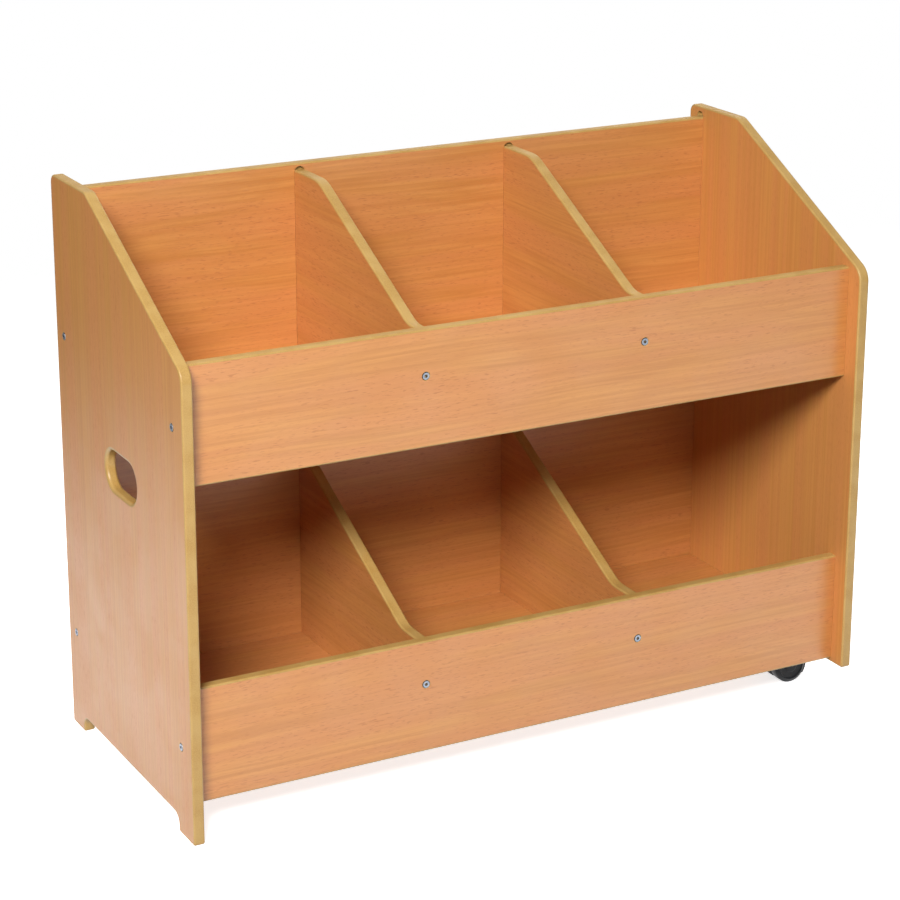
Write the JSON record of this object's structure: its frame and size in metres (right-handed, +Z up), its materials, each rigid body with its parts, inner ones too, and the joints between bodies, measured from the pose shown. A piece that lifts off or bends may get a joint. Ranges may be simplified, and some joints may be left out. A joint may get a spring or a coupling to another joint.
{
  "type": "mobile book cart",
  "caption": "Two-tier beech-effect book cart with bays between sloped dividers, footed at the end with a hand slot and on swivel castors at the other.",
  "frame": {"origin": "on the floor, under the middle of the cart's outer box", "axes": "+X along the length towards the castor end, -Y to the front where the bays open, +Z up"},
  "size_m": [1.0008, 0.424, 0.77],
  "materials": {
    "beech_board": "satin beech-effect board with clear-lacquered edges",
    "dowel_wood": "raw beech dowel",
    "zinc_screw": "bright zinc plated",
    "castor_plate_steel": "zinc plated pressed steel",
    "axle_steel": "bright steel pin",
    "castor_hood_black": "black moulded nylon",
    "castor_wheel_black": "black moulded nylon wheel"
  },
  "bodies": {
    "cart": {"back_panel": "beech_board", "divider_screw_lower_left_back_high": "zinc_screw", "divider_screw_lower_left_back_low": "zinc_screw", "divider_screw_lower_left_front": "zinc_screw", "divider_screw_lower_right_back_high": "zinc_screw", "divider_screw_lower_right_back_low": "zinc_screw", "divider_screw_lower_right_front": "zinc_screw", "divider_screw_upper_left_back_high": "zinc_screw", "divider_screw_upper_left_back_low": "zinc_screw", "divider_screw_upper_left_front": "zinc_screw", "divider_screw_upper_right_back_high": "zinc_screw", "divider_screw_upper_right_back_low": "zinc_screw", "divider_screw_upper_right_front": "zinc_screw", "dowel_lower_left_front": "dowel_wood", "dowel_lower_left_rear": "dowel_wood", "dowel_lower_right_front": "dowel_wood", "dowel_lower_right_rear": "dowel_wood", "dowel_upper_left_front": "dowel_wood", "dowel_upper_left_rear": "dowel_wood", "dowel_upper_right_front": "dowel_wood", "dowel_upper_right_rear": "dowel_wood", "front_castor_plate": "castor_plate_steel", "front_castor_screw_1": "zinc_screw", "front_castor_screw_2": "zinc_screw", "front_castor_screw_3": "zinc_screw", "front_castor_screw_4": "zinc_screw", "left_side_panel": "beech_board", "lower_front_panel": "beech_board", "lower_left_divider": "beech_board", "lower_right_divider": "beech_board", "lower_shelf": "beech_board", "rear_castor_plate": "castor_plate_steel", "rear_castor_screw_1": "zinc_screw", "rear_castor_screw_2": "zinc_screw", "rear_castor_screw_3": "zinc_screw", "rear_castor_screw_4": "zinc_screw", "right_side_panel": "beech_board", "side_screw_left_front_lower": "zinc_screw", "side_screw_left_front_upper": "zinc_screw", "side_screw_left_rear_lower": "zinc_screw", "side_screw_left_rear_upper": "zinc_screw", "side_screw_right_front_lower": "zinc_screw", "side_screw_right_front_upper": "zinc_screw", "side_screw_right_rear_lower": "zinc_screw", "side_screw_right_rear_upper": "zinc_screw", "upper_front_panel": "beech_board", "upper_left_divider": "beech_board", "upper_right_divider": "beech_board", "upper_shelf": "beech_board"},
    "front_castor": {"front_castor_axle": "axle_steel", "front_castor_housing": "castor_hood_black"},
    "front_castor_near_wheel": {"front_castor_near_wheel": "castor_wheel_black"},
    "front_castor_far_wheel": {"front_castor_far_wheel": "castor_wheel_black"},
    "rear_castor": {"rear_castor_axle": "axle_steel", "rear_castor_housing": "castor_hood_black"},
    "rear_castor_near_wheel": {"rear_castor_near_wheel": "castor_wheel_black"},
    "rear_castor_far_wheel": {"rear_castor_far_wheel": "castor_wheel_black"}
  },
  "joints": [
    {"name": "front_castor_swivel", "type": "hinge", "parent": "cart", "child": "front_castor", "pos_m": [0.429, -0.1285, 0.0625], "axis": [0, 0, 1], "continuous": true},
    {"name": "front_castor_near_wheel_spin", "type": "hinge", "parent": "front_castor", "child": "front_castor_near_wheel", "pos_m": [0.445, -0.1285, 0.025], "axis": [0, 1, 0], "continuous": true},
    {"name": "front_castor_far_wheel_spin", "type": "hinge", "parent": "front_castor", "child": "front_castor_far_wheel", "pos_m": [0.445, -0.1285, 0.025], "axis": [0, 1, 0], "continuous": true},
    {"name": "rear_castor_swivel", "type": "hinge", "parent": "cart", "child": "rear_castor", "pos_m": [0.429, 0.135, 0.0625], "axis": [0, 0, 1], "continuous": true},
    {"name": "rear_castor_near_wheel_spin", "type": "hinge", "parent": "rear_castor", "child": "rear_castor_near_wheel", "pos_m": [0.445, 0.135, 0.025], "axis": [0, 1, 0], "continuous": true},
    {"name": "rear_castor_far_wheel_spin", "type": "hinge", "parent": "rear_castor", "child": "rear_castor_far_wheel", "pos_m": [0.445, 0.135, 0.025], "axis": [0, 1, 0], "continuous": true}
  ]
}
